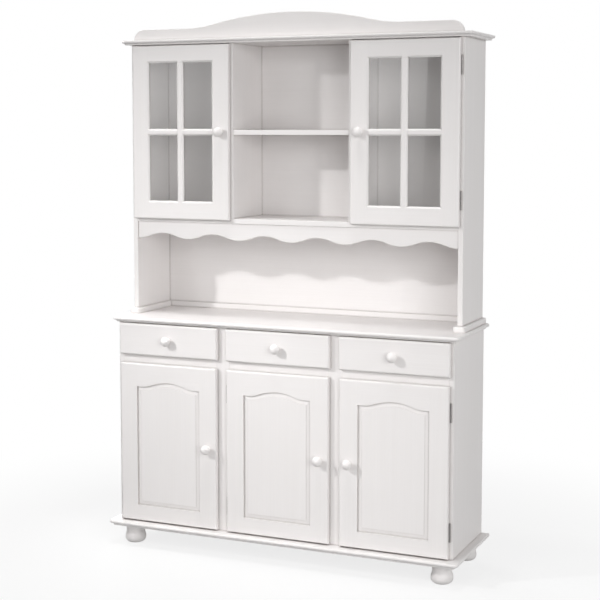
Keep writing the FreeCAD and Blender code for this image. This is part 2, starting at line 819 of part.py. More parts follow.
def cupboard_door(name, bay, hang):
    """A framed door with an arched top rail round a raised and fielded panel."""
    middle = bay * bay_pitch
    half = bay_opening / 2 + size.door_overlap
    inside = half - size.door_stile
    door_back = face - hinge_gap
    door_front = door_back - size.door_thickness
    low = floor_top + size.door_bottom_gap
    high = rail_low + size.door_lip
    panel_back = door_back - size.panel_inset
    tongue_front = panel_back - size.panel_tongue
    groove = (tongue_front - size.panel_play, panel_back + size.panel_play)
    arch_half = inside - size.arch_flat
    shoulder = high - size.door_top_rail - size.arch_rise
    sill = low + size.door_bottom_rail

    def arch(out):
        """The arched edge of the panel opening, moved out or, below zero, in."""
        return arched_edge(arch_half, shoulder, size.arch_rise, size.arch_crown_share, out)

    def panel_outline(out):
        """The whole panel opening, moved out or in all round."""
        edge = inside + out
        top = shoulder + out
        return [Corner(-edge, sill - out), Corner(edge, sill - out), Corner(edge, top),
                *arch(out), Corner(-edge, top)]

    def around_groove(plain, grooved):
        """Front, grooved and back layers of a frame piece."""
        return [(plain, door_front, groove[0]), (grooved, *groove), (plain, groove[1], door_back)]

    def top_outline(end, out):
        """The arched rail between its ends, its lower edge cut back by the groove."""
        return [Corner(end, shoulder + out), *arch(out), Corner(-end, shoulder + out),
                Corner(-end, high), Corner(end, high)]

    members = []
    for hand, side in SIDES.items():
        plain = rectangle(mirrored(side, inside, half), (low, high))
        grooved = rectangle(mirrored(side, inside + size.panel_groove, half), (low, high))
        stile = layered(f"{name}_door_stile_{hand}", "XZ_Plane", around_groove(plain, grooved), x=middle)
        outer = edges_at(stile, y=door_front, x=side * half)
        ends = edges_at(stile, y=door_front, z=low) + edges_at(stile, y=door_front, z=high)
        round_edges(stile, outer + ends, size.door_round)
        members.append(stile)

    tenon = inside + size.panel_groove - size.panel_play
    top_rail = layered(f"{name}_door_top_rail", "XZ_Plane",
                       around_groove(top_outline(inside, length(0)), top_outline(tenon, size.panel_groove)),
                       x=middle)
    round_edges(top_rail, edges_at(top_rail, y=door_front, z=high), size.door_round)
    bottom_rail = layered(f"{name}_door_bottom_rail", "XZ_Plane",
                          around_groove(rectangle((-inside, inside), (low, sill)),
                                        rectangle((-tenon, tenon), (low, sill - size.panel_groove))),
                          x=middle)
    round_edges(bottom_rail, edges_at(bottom_rail, y=door_front, z=low), size.door_round)
    members += [top_rail, bottom_rail]

    panel = start_body(f"{name}_door_panel", x=middle)
    field_front = door_front + size.panel_recess
    bevel_front = field_front + size.panel_step
    field = -size.panel_bevel
    add_pad(panel, "XZ_Plane", panel_outline(size.panel_groove - size.panel_room), tongue_front, panel_back)
    bevel = panel.newObject("PartDesign::AdditiveLoft", f"{name}_door_bevel")
    bevel.Profile = sketch_on(panel, "XZ_Plane", tongue_front, panel_outline(-size.panel_play))
    bevel.Sections = [sketch_on(panel, "XZ_Plane", bevel_front, panel_outline(field))]
    bevel.Ruled = True
    add_pad(panel, "XZ_Plane", panel_outline(field), field_front, bevel_front)

    knob_across = middle - hang * (half - size.door_knob_inset)
    leaves, hinges = hang_door(f"{name}_door", hang, middle + hang * half, size.door_overlap, face, low, high)
    pieces = [
        group(f"{name}_door_frame", members),
        panel,
        knob(f"{name}_door_knob", knob_across, door_front, low + size.door_knob_height),
        leaves,
    ]
    return pieces, hinges


# Glazed doors

def pane_cutter(label, across, along, front):
    """A block that bevels the wood round a pane: the pane's size inside, wider at the front."""
    cutter = doc.addObject("Part::Wedge", label)
    cutter.setExpression("Ymin", front.text)
    cutter.setExpression("Ymax", (front + size.pane_bevel_depth).text)
    for axis, (low, high) in (("X", across), ("Z", along)):
        cutter.setExpression(f"{axis}min", (low - size.pane_bevel).text)
        cutter.setExpression(f"{axis}max", (high + size.pane_bevel).text)
        cutter.setExpression(f"{axis}2min", low.text)
        cutter.setExpression(f"{axis}2max", high.text)
    return cutter


def bevelled(piece, cutters):
    """A piece with its edges round the panes bevelled."""
    cut = doc.addObject("Part::Cut", f"{piece.Name}_bevelled")
    cut.Base = piece
    cut.Tool = cutters
    return cut


def glazed_door(name, hang):
    """A rebated door frame with bevelled bars, and one sheet of glass held by beads."""
    opening = (partition_outside, hutch_inside)
    middle = hang * (opening[0] + opening[1]) / 2
    half = (opening[1] - opening[0]) / 2 + size.glazed_overlap
    inside = half - size.glazed_stile
    door_back = hutch_face - hinge_gap
    door_front = door_back - size.door_thickness
    rebate_front = door_front + size.lattice_thickness
    low = hutch_floor_top - size.glazed_overlap
    high = hutch_top - size.glazed_top_gap
    sill = low + size.glazed_bottom_rail
    head = high - size.glazed_top_rail

    def rebated(plain, cut_back):
        """Front and rebated back layers of a frame piece."""
        return [(plain, door_front, rebate_front), (cut_back, rebate_front, door_back)]

    members = []
    for hand, side in SIDES.items():
        plain = rectangle(mirrored(side, inside, half), (low, high))
        cut_back = rectangle(mirrored(side, inside + size.rebate, half), (low, high))
        stile = layered(f"{name}_glass_stile_{hand}", "XZ_Plane", rebated(plain, cut_back), x=middle)
        outer = edges_at(stile, y=door_front, x=side * half)
        ends = edges_at(stile, y=door_front, z=low) + edges_at(stile, y=door_front, z=high)
        round_edges(stile, outer + ends, size.door_round)
        members.append(stile)

    lap = inside + size.rebate
    rails = {"bottom": (low, (low, sill), (low, sill - size.rebate)),
             "top": (high, (head, high), (head + size.rebate, high))}
    for end, (outer, plain, cut_back) in rails.items():
        layers = rebated(rectangle((-inside, inside), plain), rectangle((-lap, lap), cut_back))
        rail = layered(f"{name}_glass_rail_{end}", "XZ_Plane", layers, x=middle)
        round_edges(rail, edges_at(rail, y=door_front, z=outer), size.door_round)
        members.append(rail)

    lattice_deep = (door_front, rebate_front)
    centre = (sill + head) / 2
    cross = (centre - size.cross_width / 2, centre + size.cross_width / 2)
    bar_half = size.upright_width / 2
    bars = [board(f"{name}_glass_upright", (middle - bar_half, middle + bar_half), lattice_deep, (sill, head))]
    cutters = []
    for hand, side in SIDES.items():
        near, far = mirrored(side, bar_half, inside)
        across = (middle + near, middle + far)
        bars.append(board(f"{name}_glass_cross_{hand}", across, lattice_deep, cross))
        for row, along in {"lower": (sill, cross[0]), "upper": (cross[1], head)}.items():
            cutters.append(pane_cutter(f"{name}_glass_cutter_{row}_{hand}", across, along, door_front))
    pane_cutters = group(f"{name}_glass_cutters", cutters)
    members = [bevelled(member, pane_cutters) for member in members]
    bars = [bevelled(bar, pane_cutters) for bar in bars]

    room = size.rebate - size.glass_play
    glass_back = rebate_front + size.glass
    pane = board(f"{name}_glass_door_pane", (middle - inside - room, middle + inside + room),
                 (rebate_front, glass_back), (sill - room, head + room))
    bead_deep = (glass_back, door_back)
    for hand, side in SIDES.items():
        near, far = mirrored(side, inside, inside + size.rebate)
        bars.append(board(f"{name}_glass_bead_{hand}", (middle + near, middle + far), bead_deep,
                          (sill - size.rebate, head + size.rebate)))
    for end, along in {"bottom": (sill - size.rebate, sill), "top": (head, head + size.rebate)}.items():
        bars.append(board(f"{name}_glass_bead_{end}", (middle - inside, middle + inside), bead_deep, along))
    knob_across = middle - hang * (half - size.glazed_knob_inset)
    leaves, hinges = hang_door(f"{name}_glass_door", hang, middle + hang * half, size.glazed_overlap,
                               hutch_face, low, high)
    pieces = [
        group(f"{name}_glass_door_frame", members),
        group(f"{name}_glass_door_bars", bars),
        pane,
        knob(f"{name}_glass_door_knob", knob_across, door_front, centre),
        leaves,
    ]
    return pieces, hinges


# The whole dresser

def dresser():
    """Every node of the dresser."""
    nodes = sideboard() + hutch()
    hinges = []
    for name, bay in BAYS.items():
        nodes += drawer(name, bay)
        pieces, door_hinges = cupboard_door(name, bay, DOOR_HANGS[name])
        nodes += pieces
        hinges += door_hinges
    for name, hang in SIDES.items():
        pieces, door_hinges = glazed_door(name, hang)
        nodes += pieces
        hinges += door_hinges
    nodes.append(group("hinge_frame_leaves", [item.frame for item in hinges]))
    nodes.append(group("hinge_pins", [item.pin for item in hinges]))
    return nodes


def check(nodes):
    """Stop if any object failed or any node has no sound shape."""
    doc.recompute()
    failed = [item.Label for item in doc.Objects if {"Invalid", "Error"} & set(item.State)]
    unsound = [node.Label for node in nodes if node.Shape.isNull() or not node.Shape.isValid()]
    if failed or unsound:
        raise RuntimeError(f"failed: {failed}, unsound: {unsound}")


def write(nodes):
    """Write each node to a file of its own and print what it holds."""
    os.makedirs("parts", exist_ok=True)
    whole = FreeCAD.BoundBox()
    for node in nodes:
        node.Shape.exportStep(f"parts/{node.Label}.step")
        whole.add(node.Shape.optimalBoundingBox())
        print(f"{node.Label}: {len(node.Shape.Solids)} solids, {node.Shape.Volume / 1000:.1f} cm3")
    print(f"{len(nodes)} nodes, {whole.XLength:.1f} x {whole.YLength:.1f} x {whole.ZLength:.1f} mm")


dresser_nodes = dresser()
check(dresser_nodes)
write(dresser_nodes)
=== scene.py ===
# %% [markdown]
# # A white painted dresser
#
# The object is a two-piece dresser of painted pine: a sideboard with drawers and panelled
# cupboards, and a shallower hutch with glazed doors on top of it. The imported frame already
# holds every board, knob and hinge at its real size, so this lesson is about the looks: the
# paint, the bare wood inside the drawers, the glass, the hinges, and the small fasteners that
# are too fine for a construction model. All lengths are in metres.

# %% Load the frame
import bmesh
import bpy
import json
import math
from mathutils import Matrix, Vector


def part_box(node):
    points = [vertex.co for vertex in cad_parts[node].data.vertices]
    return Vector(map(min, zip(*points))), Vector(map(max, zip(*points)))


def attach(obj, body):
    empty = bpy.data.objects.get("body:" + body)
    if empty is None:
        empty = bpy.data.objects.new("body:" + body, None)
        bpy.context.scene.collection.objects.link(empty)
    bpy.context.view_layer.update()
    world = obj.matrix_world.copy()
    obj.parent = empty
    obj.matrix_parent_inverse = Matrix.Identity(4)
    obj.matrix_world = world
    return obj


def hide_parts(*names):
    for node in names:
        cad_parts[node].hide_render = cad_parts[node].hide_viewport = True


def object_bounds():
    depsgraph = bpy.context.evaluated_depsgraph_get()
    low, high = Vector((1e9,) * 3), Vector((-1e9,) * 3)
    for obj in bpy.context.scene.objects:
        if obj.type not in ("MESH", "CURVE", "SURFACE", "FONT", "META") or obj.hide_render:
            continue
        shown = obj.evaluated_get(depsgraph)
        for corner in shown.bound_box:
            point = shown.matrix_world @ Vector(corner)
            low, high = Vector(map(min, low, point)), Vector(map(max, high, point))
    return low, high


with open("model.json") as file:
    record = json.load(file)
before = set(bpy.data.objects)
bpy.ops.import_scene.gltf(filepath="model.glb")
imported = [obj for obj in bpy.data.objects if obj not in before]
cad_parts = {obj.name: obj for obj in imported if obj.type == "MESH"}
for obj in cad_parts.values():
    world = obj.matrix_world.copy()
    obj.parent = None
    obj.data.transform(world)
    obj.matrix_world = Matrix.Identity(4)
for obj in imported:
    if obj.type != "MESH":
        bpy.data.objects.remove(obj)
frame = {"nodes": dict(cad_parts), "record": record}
cad_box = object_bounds()
nodes = frame["nodes"]
bodies = frame["record"]["behaviour"]["bodies"]
body_of_node = {node: body for body, members in bodies.items() for node in members}
slot_of_node = {row["node"]: row["material_slot"] for row in frame["record"]["subparts"]}
cad_size = [round(length, 3) for length in cad_box[1] - cad_box[0]]
print(f"{len(nodes)} nodes on {len(bodies)} bodies, box {cad_size} m")

# %% [markdown]
# ## Finishes as node trees
#
# Every finish below is a procedural material. Typing out node after node hides the idea, so
# small helpers add a node, set its options, and set its sockets by name or link them where they
# are given as other nodes' outputs. Object coordinates are used throughout: a node's object sits
# at the origin of the frame, so the pattern has a real scale in metres and rides along when a
# door or drawer moves.

# %% Helpers for shader nodes
def set_sockets(tree, node, **sockets):
    """Set a node's sockets by name, or link those given as other nodes' outputs."""
    for name, value in sockets.items():
        socket = node.inputs[name.replace("_", " ")]
        if isinstance(value, bpy.types.NodeSocket):
            tree.links.new(value, socket)
        else:
            socket.default_value = value


def add_node(tree, kind, options=None, **sockets):
    """Add a shader node, set its options, and set or link its sockets by name."""
    node = tree.nodes.new(kind)
    for name, value in (options or {}).items():
        setattr(node, name, value)
    set_sockets(tree, node, **sockets)
    return node


def link_in_order(tree, node, start, *outputs):
    """Link outputs to sockets that share a name, counted from a first one."""
    for index, output in enumerate(outputs, start):
        tree.links.new(output, node.inputs[index])


def new_finish(name):
    """An empty node material with its main shader and its object coordinates."""
    material = bpy.data.materials.new(name)
    material.use_nodes = True
    tree = material.node_tree
    shader = tree.nodes["Principled BSDF"]
    coordinates = add_node(tree, "ShaderNodeTexCoord").outputs["Object"]
    return material, tree, shader, coordinates


print("node helpers ready")

# %% [markdown]
# A few combinations come back in every finish: the larger or the product of two values, a value
# moved to another range, two colours mixed or multiplied, a bump, and a surface that is one
# shader to some rays and another to the rest. The mix node has several sockets of one name, so
# its colour sockets are found by their number.

# %% Helpers for values, colours and surfaces
UNIT = (0.0, 1.0)
MIX_FIRST, MIX_SECOND, MIX_RESULT = 6, 7, 2


def combine(tree, operation, first, second):
    """Two values put through a maths operation."""
    node = add_node(tree, "ShaderNodeMath", {"operation": operation})
    link_in_order(tree, node, 0, first, second)
    return node.outputs["Value"]


def spread(tree, value, source, result, interpolation="LINEAR"):
    """Map a value from one range onto another."""
    mapped = add_node(tree, "ShaderNodeMapRange", {"interpolation_type": interpolation},
                      Value=value, From_Min=source[0], From_Max=source[1],
                      To_Min=result[0], To_Max=result[1])
    return mapped.outputs["Result"]


def blend_colour(tree, factor, first, second):
    """Mix two colours by a factor socket."""
    mix = add_node(tree, "ShaderNodeMix", {"data_type": "RGBA"}, Factor=factor)
    mix.inputs[MIX_FIRST].default_value = (*first, 1)
    mix.inputs[MIX_SECOND].default_value = (*second, 1)
    return mix.outputs[MIX_RESULT]


def multiply_colours(tree, first, second):
    """One colour socket tinted by another."""
    options = {"data_type": "RGBA", "blend_type": "MULTIPLY"}
    mix = add_node(tree, "ShaderNodeMix", options, Factor=1.0)
    link_in_order(tree, mix, MIX_FIRST, first, second)
    return mix.outputs[MIX_RESULT]


def bump(tree, height, strength, distance, **sockets):
    """A surface direction that follows a height."""
    return add_node(tree, "ShaderNodeBump", Height=height, Strength=strength, Distance=distance,
                    **sockets).outputs["Normal"]


def mix_surface(tree, factor, first, second):
    """Make the surface a mix of two shaders."""
    mix = add_node(tree, "ShaderNodeMixShader", Fac=factor)
    link_in_order(tree, mix, 1, first, second)
    set_sockets(tree, tree.nodes["Material Output"], Surface=mix.outputs["Shader"])


print("value, colour and surface helpers ready")

# %% [markdown]
# ## White paint over pine
#
# The paint is a satin white with a little warmth. Under it lies pine, whose grain still shows as
# faint long streaks and ridges, and the paint itself has the fine skin that a roller leaves. A
# flat white would look like plastic. The grain is a noise stretched along the board, so the
# finish is made once for each direction that a board can run in. Colour, roughness and bump all
# read the same grain, because on the real thing one cause makes all three. Grooves and gaps of
# a few millimetres, those between a door and its frame among them, get painted shade in their
# colour, which draws the panels' outlines: an occlusion node finds those places.

# %% Stretched patterns
AXES = "XYZ"


def along_board(tree, place, along, scales):
    """Coordinates that stretch a pattern along one axis of a board."""
    long, across = scales
    stretch = tuple(long if axis == along else across for axis in AXES)
    return add_node(tree, "ShaderNodeMapping", Vector=place, Scale=stretch).outputs["Vector"]


def noise(tree, place, scale, detail, **sockets):
    """A noise pattern between nought and one."""
    return add_node(tree, "ShaderNodeTexNoise", Vector=place, Scale=scale, Detail=detail,
                    **sockets).outputs["Fac"]


print("patterns run along", ", ".join(AXES))

# %% White paint
# Scales along the grain and across it
PAINT_GRAIN = (2.2, 190.0)
PAINT_BANDS = (0.9, 22.0)
# Scales of patterns without a grain
CLOUD_SCALE = 3.2
SKIN_SCALE = 620.0
# Tints, and the reach within which a groove or gap gets painted shade
CLEAN = (1.0, 1.0, 1.0)
GRAIN_HOLLOW = (0.834, 0.810, 0.804)
GRAIN_RIDGE = (0.848, 0.825, 0.820)
BAND_TINT = (0.976, 0.973, 0.970)
AGE_TINT = (0.978, 0.974, 0.968)
# The colour of the painted shade laid into grooves and gaps
CREVICE_SHADE_TINT = (0.56, 0.53, 0.51)
CREVICE = 0.007
# The shares of the grain noise that count as hollow and ridge, and the gloss of the two
GRAIN_RANGE = (0.34, 0.66)
PAINT_ROUGHNESS = (0.44, 0.39)
PAINT_GLOSS = 0.42


def white_paint(along):
    """Satin white paint on a board whose grain runs along the given axis."""
    material, tree, shader, place = new_finish(f"white_paint_{along}")
    lines = noise(tree, along_board(tree, place, along, PAINT_GRAIN), 1.0, 5.0, Roughness=0.6,
                  Distortion=0.4)
    bands = noise(tree, along_board(tree, place, along, PAINT_BANDS), 1.0, 3.0)
    clouds = noise(tree, place, CLOUD_SCALE, 3.0)
    skin = noise(tree, place, SKIN_SCALE, 2.0)
    streak = spread(tree, lines, GRAIN_RANGE, UNIT)
    # Painted shade: the occlusion darkens grooves and gaps between parts in the colour
    open_sky = add_node(tree, "ShaderNodeAmbientOcclusion", {"samples": 6}, Distance=CREVICE)
    streaks = blend_colour(tree, streak, GRAIN_HOLLOW, GRAIN_RIDGE)
    broad = blend_colour(tree, bands, BAND_TINT, CLEAN)
    aged = blend_colour(tree, clouds, AGE_TINT, CLEAN)
    painted_crevice_shade = blend_colour(tree, open_sky.outputs["AO"], CREVICE_SHADE_TINT, CLEAN)
    grain = multiply_colours(tree, streaks, broad)
    tone_and_crevice_shade = multiply_colours(tree, aged, painted_crevice_shade)
    ridges = bump(tree, streak, 0.06, 0.0004)
    set_sockets(tree, shader, Base_Color=multiply_colours(tree, grain, tone_and_crevice_shade),
                Roughness=spread(tree, streak, UNIT, PAINT_ROUGHNESS),
                Specular_IOR_Level=PAINT_GLOSS,
                Normal=bump(tree, skin, 0.05, 0.0003, Normal=ridges))
    return material


paints = {axis: white_paint(axis) for axis in AXES}
print("white paint for boards along", ", ".join(paints))

# %% [markdown]
# ## Bare pine
#
# The drawer boxes are not painted. Pine has pale early wood and darker late wood in lines a few
# millimetres apart. A stretched noise gives the lines; distorting it bends them, so they run out
# and come back as sawn lines do. A second, lower noise varies the tone from one stretch to the
# next.

# %% Bare pine
PINE_GRAIN = (1.2, 26.0)
PINE_LINES = 2.6
PINE_TONES = 0.9
EARLY_WOOD = (0.610, 0.430, 0.245)
LATE_WOOD = (0.420, 0.245, 0.110)
PINE_SHADE = (0.86, 0.84, 0.80)
LATE_RANGE = (0.42, 0.62)
PINE_ROUGHNESS = (0.55, 0.42)


def bare_pine(along):
    """Sealed bare pine whose grain runs along the given axis."""
    material, tree, shader, place = new_finish(f"bare_pine_{along}")
    stretched = along_board(tree, place, along, PINE_GRAIN)
    lines = noise(tree, stretched, PINE_LINES, 5.0, Roughness=0.7, Distortion=1.2)
    tone = noise(tree, stretched, PINE_TONES, 2.0)
    late = spread(tree, lines, LATE_RANGE, UNIT)
    wood = blend_colour(tree, late, EARLY_WOOD, LATE_WOOD)
    shade = blend_colour(tree, tone, PINE_SHADE, CLEAN)
    set_sockets(tree, shader, Base_Color=multiply_colours(tree, wood, shade),
                Roughness=spread(tree, late, UNIT, PINE_ROUGHNESS),
                Normal=bump(tree, late, 0.15, 0.0004))
    return material


pines = {axis: bare_pine(axis) for axis in AXES}
print("bare pine for boards along", ", ".join(pines))

# %% [markdown]
# ## Glass and metal
#
# The panes are plain clear sheet glass. Light has to pass them to reach the shelves, and a
# path tracer finds that hard through a refracting sheet, so shadow and diffuse rays see the
# sheet as open while the eye still sees its reflections. Hinges and screws are dull steel: a
# metal with a mottled roughness from handling and a darker film in patches.

# %% Pane glass
GLASS_TINT = (0.984, 0.986, 0.985, 1)
GLASS_IOR = 1.45
GLASS_WAVES = 5.0
GLASS_HAZE = (0.0, 0.006)
# The middle part of a noise, where nearly all of its values lie
MIDDLE_RANGE = (0.3, 0.7)


def pane_glass():
    """Clear sheet glass that lets the light through to the shelves."""
    material, tree, shader, place = new_finish("pane_glass")
    waves = noise(tree, place, GLASS_WAVES, 1.0)
    set_sockets(tree, shader, Base_Color=GLASS_TINT, Transmission_Weight=1.0, IOR=GLASS_IOR,
                Roughness=spread(tree, waves, MIDDLE_RANGE, GLASS_HAZE),
                Normal=bump(tree, waves, 0.01, 0.001))
    rays = add_node(tree, "ShaderNodeLightPath").outputs
    passing = combine(tree, "MAXIMUM", rays["Is Shadow Ray"], rays["Is Diffuse Ray"])
    open_sheet = add_node(tree, "ShaderNodeBsdfTransparent", Color=GLASS_TINT)
    mix_surface(tree, passing, shader.outputs["BSDF"], open_sheet.outputs["BSDF"])
    return material


glass = pane_glass()
print("made", glass.name)

# %% Dull steel
FILM_SCALE = 160.0
SCUFF_SCALE = 900.0
STEEL_ROUGHNESS = (0.55, 0.34)


def dull_metal(name, clean, film):
    """Handled metal with a darker film in patches."""
    material, tree, shader, place = new_finish(name)
    patches = noise(tree, place, FILM_SCALE, 4.0)
    scuffs = noise(tree, place, SCUFF_SCALE, 2.0)
    set_sockets(tree, shader, Base_Color=blend_colour(tree, patches, film, clean), Metallic=1.0,
                Roughness=spread(tree, patches, MIDDLE_RANGE, STEEL_ROUGHNESS),
                Normal=bump(tree, scuffs, 0.08, 0.0002))
    return material


hinge_steel = dull_metal("hinge_steel", (0.31, 0.30, 0.295), (0.16, 0.155, 0.15))
screw_steel = dull_metal("screw_steel", (0.60, 0.59, 0.57), (0.40, 0.39, 0.38))
print("made", hinge_steel.name, "and", screw_steel.name)

# %% Finish the glass and the hinges
plain_finishes = {"clear_glass": glass, "hinge_metal": hinge_steel}
for node, slot in slot_of_node.items():
    if slot in plain_finishes:
        data = nodes[node].data
        data.materials.clear()
        data.materials.append(plain_finishes[slot])
print("glass and hinges finished")

# %% [markdown]
# ## Softened boards
#
# No painted edge is knife sharp: it was sanded, and paint draws back from it. Those hairline
# rounds catch the light and draw the joints between stiles and rails, so they matter more than
# their size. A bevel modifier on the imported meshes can't make them, because those are split at
# every sharp edge and hold several boards each. So each board is taken out by itself: its faces
# follow each other in the node's mesh until every edge has met its partner, and then the board
# is closed. Its points are welded, its flat triangles joined, its sharp edges bevelled by under
# a millimetre, and it gets the finish whose grain runs along its longest side.

# %% Take the boards out of a node
def solids_of(node):
    """The faces of each closed solid in a node, as lists of corner places."""
    mesh = nodes[node].data
    places = [tuple(vert.co) for vert in mesh.vertices]
    solids = []
    faces = []
    open_edges = set()
    for polygon in mesh.polygons:
        corners = [places[index] for index in polygon.vertices]
        faces.append(corners)
        for pair in zip(corners, corners[1:] + corners[:1]):
            open_edges ^= {frozenset(pair)}
        if not open_edges:
            solids.append(faces)
            faces = []
    if faces:
        raise ValueError(f"{node}: {len(faces)} faces don't close")
    return solids


def box_of(faces):
    """Lowest and highest corner of a solid."""
    points = [place for face in faces for place in face]
    low = Vector(min(point[axis] for point in points) for axis in range(3))
    high = Vector(max(point[axis] for point in points) for axis in range(3))
    return low, high


knobs = [node for node in slot_of_node if node.endswith("_knob")]
counts = {node: len(solids_of(node)) for node in slot_of_node if node not in knobs}
print(f"{sum(counts.values())} solids in {len(counts)} nodes besides the knobs")

# %% Soften one board
FLAT = math.radians(0.6)
SHARP = math.radians(32)
SOFT_EDGE = 0.0009
EDGE_STEPS = 2


def soft_board(faces):
    """A solid as an editable mesh with soft edges."""
    mesh = bmesh.new()
    verts = {}
    for face in faces:
        for place in face:
            if place not in verts:
                verts[place] = mesh.verts.new(place)
    for face in faces:
        mesh.faces.new([verts[place] for place in face])
    bmesh.ops.dissolve_limit(mesh, angle_limit=FLAT, verts=mesh.verts, edges=mesh.edges)
    sharp = [edge for edge in mesh.edges if edge.is_manifold and edge.calc_face_angle() > SHARP]
    bmesh.ops.bevel(mesh, geom=sharp, offset=SOFT_EDGE, segments=EDGE_STEPS, profile=0.5,
                    affect="EDGES", clamp_overlap=True)
    return mesh


print(f"boards get edges of {SOFT_EDGE * 1000} mm")

# %% [markdown]
# A finished mesh becomes a piece here: its faces are smooth up to its sharp edges, and a modifier
# lets the large faces decide how their corners are shaded, so that a flat board stays flat. The
# piece rides on the body of its node and takes the finishes it is given.

# %% Make pieces
def finish_piece(name, mesh, finishes, body):
    """Turn a mesh into a piece that rides on a body."""
    for face in mesh.faces:
        face.smooth = True
    data = bpy.data.meshes.new(name)
    mesh.to_mesh(data)
    mesh.free()
    for finish in finishes:
        data.materials.append(finish)
    data.set_sharp_from_angle(angle=SHARP)
    piece = bpy.data.objects.new(name, data)
    bpy.context.scene.collection.objects.link(piece)
    even = piece.modifiers.new("even_shading", "WEIGHTED_NORMAL")
    even.keep_sharp = True
    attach(piece, body)
    return piece


def soften(node, finishes):
    """Replace a wooden node by soft boards with grain along each of them."""
    whole = bmesh.new()
    for faces in solids_of(node):
        low, high = box_of(faces)
        spans = list(high - low)
        mesh = soft_board(faces)
        for face in mesh.faces:
            face.material_index = spans.index(max(spans))
        held = bpy.data.meshes.new("board")
        mesh.to_mesh(held)
        mesh.free()
        whole.from_mesh(held)
        bpy.data.meshes.remove(held)
    piece = finish_piece(f"{node}_soft", whole, [finishes[axis] for axis in AXES],
                         body_of_node[node])
    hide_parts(node)


print(f"faces are smooth up to {math.degrees(SHARP):.0f} degrees")

# %% Soften all boards
wood_finishes = {"white_paint": paints, "bare_pine": pines}
wooden = [node for node, slot in slot_of_node.items()
          if slot in wood_finishes and node not in knobs]
for node in wooden:
    soften(node, wood_finishes[slot_of_node[node]])
print(f"softened {len(wooden)} wooden nodes")

# %% [markdown]
# ## Turned knobs
#
# The knobs came off a lathe, so they are made as on a lathe here: an outline spun about an axis.
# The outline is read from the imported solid, as its widest radius at each height over the wood.
# A point is kept only where the outline has turned by some degrees since the last one, which
# puts many rings on the tight bead at the rim and few on the stem, and makes a mesh about a sixth
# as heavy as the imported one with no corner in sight.

# %% A lathe
TURN_SEGMENTS = 48


def turn(mesh, outline, place, facing, segments=TURN_SEGMENTS, close_top=True):
    """Spin pairs of radius and height about an axis. Heights run from the place along facing."""
    tilt = Vector((0, 0, 1)).rotation_difference(Vector(facing)).to_matrix()
    rings = []
    for radius, height in outline:
        ring = []
        for step in range(segments):
            angle = 2 * math.pi * step / segments
            point = Vector((radius * math.cos(angle), radius * math.sin(angle), height))
            ring.append(mesh.verts.new(Vector(place) + tilt @ point))
        rings.append(ring)
    for lower, upper in zip(rings, rings[1:]):
        for step in range(segments):
            after = (step + 1) % segments
            mesh.faces.new((lower[step], lower[after], upper[after], upper[step]))
    mesh.faces.new(list(reversed(rings[0])))
    if close_top:
        mesh.faces.new(rings[-1])
    return rings[-1], tilt


print(f"turned pieces have {TURN_SEGMENTS} sides")

# %% Turn the knobs
FRONT = (0, -1, 0)
OUTLINE_TURN = math.radians(6)
KNOB_TIP = 0.0004


def middle_of(node):
    """X and Z of a node's middle."""
    low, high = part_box(node)
    return (low[0] + high[0]) / 2, (low[2] + high[2]) / 2


def knob_outline(node):
    """Radius and height pairs of a knob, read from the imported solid."""
    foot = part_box(node)[1][1]
    middle_x, middle_z = middle_of(node)
    radius_at = {}
    for vert in nodes[node].data.vertices:
        height = round(foot - vert.co.y, 4)
        radius = math.hypot(vert.co.x - middle_x, vert.co.z - middle_z)
        radius_at[height] = max(radius, radius_at.get(height, KNOB_TIP))
    points = [(radius, height) for height, radius in sorted(radius_at.items())]
    kept = points[:1]
    for here, after in zip(points[1:], points[2:]):
        reached = math.atan2(here[0] - kept[-1][0], here[1] - kept[-1][1])
        leaving = math.atan2(after[0] - here[0], after[1] - here[1])
        if abs(leaving - reached) > OUTLINE_TURN:
            kept.append(here)
    return [*kept, points[-1]]


for node in knobs:
    middle_x, middle_z = middle_of(node)
    outline = knob_outline(node)
    mesh = bmesh.new()
    turn(mesh, outline, (middle_x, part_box(node)[1][1], middle_z), FRONT)
    piece = finish_piece(f"{node}_turned", mesh, [paints["Y"]], body_of_node[node])
    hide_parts(node)
print(f"turned {len(knobs)} knobs of {len(outline)} rings")

# %% [markdown]
# ## Hinge screws and knob screws
#
# Each hinge leaf is held by two countersunk screws with a cross recess, and each knob by one
# round-headed screw from behind. They only show when a door or drawer is open, but there they
# are what tells a hinge from a strip of metal. The head is turned, its top is left open, and the
# cross is let in: twelve points for its rim, the same twelve lower down for its floor.

# %% One screw head
BACK = (0, 1, 0)
SCREW_SEGMENTS = 24
CROSS_LONG = 0.58
CROSS_WIDE = 0.15
# Outlines of heads: radius as a share of the screw's, height in millimetres
FLAT_HEAD = ((1.0, -0.9), (1.0, 0.0), (0.86, 0.12))
ROUND_HEAD = ((1.0, -0.4), (1.0, 0.7), (0.9, 1.5), (0.72, 2.1))


def cross_points(radius, height):
    """Twelve corners of a cross."""
    long, wide = CROSS_LONG * radius, CROSS_WIDE * radius
    points = []
    for quarter in range(4):
        angle = quarter * math.pi / 2
        for x, y in ((long, -wide), (long, wide), (wide, wide)):
            points.append(Vector((x * math.cos(angle) - y * math.sin(angle),
                                  x * math.sin(angle) + y * math.cos(angle), height)))
    return points


def screw(mesh, place, facing, radius, head, depth):
    """A screw head with a cross recess of some depth."""
    outline = [(share * radius, height / 1000) for share, height in head]
    rim, tilt = turn(mesh, outline, place, facing, SCREW_SEGMENTS, close_top=False)
    top = outline[-1][1]
    upper, lower = ([mesh.verts.new(Vector(place) + tilt @ point)
                     for point in cross_points(radius, height)] for height in (top, top - depth))
    for step in range(len(upper)):
        after = (step + 1) % len(upper)
        mesh.faces.new((upper[after], upper[step], lower[step], lower[after]))
    mesh.faces.new(lower)
    edges = [mesh.edges.get((ring[step], ring[(step + 1) % len(ring)]))
             for ring in (rim, upper) for step in range(len(ring))]
    bmesh.ops.bridge_loops(mesh, edges=edges)


print("screw heads with a cross of", len(cross_points(1, 0)), "corners")

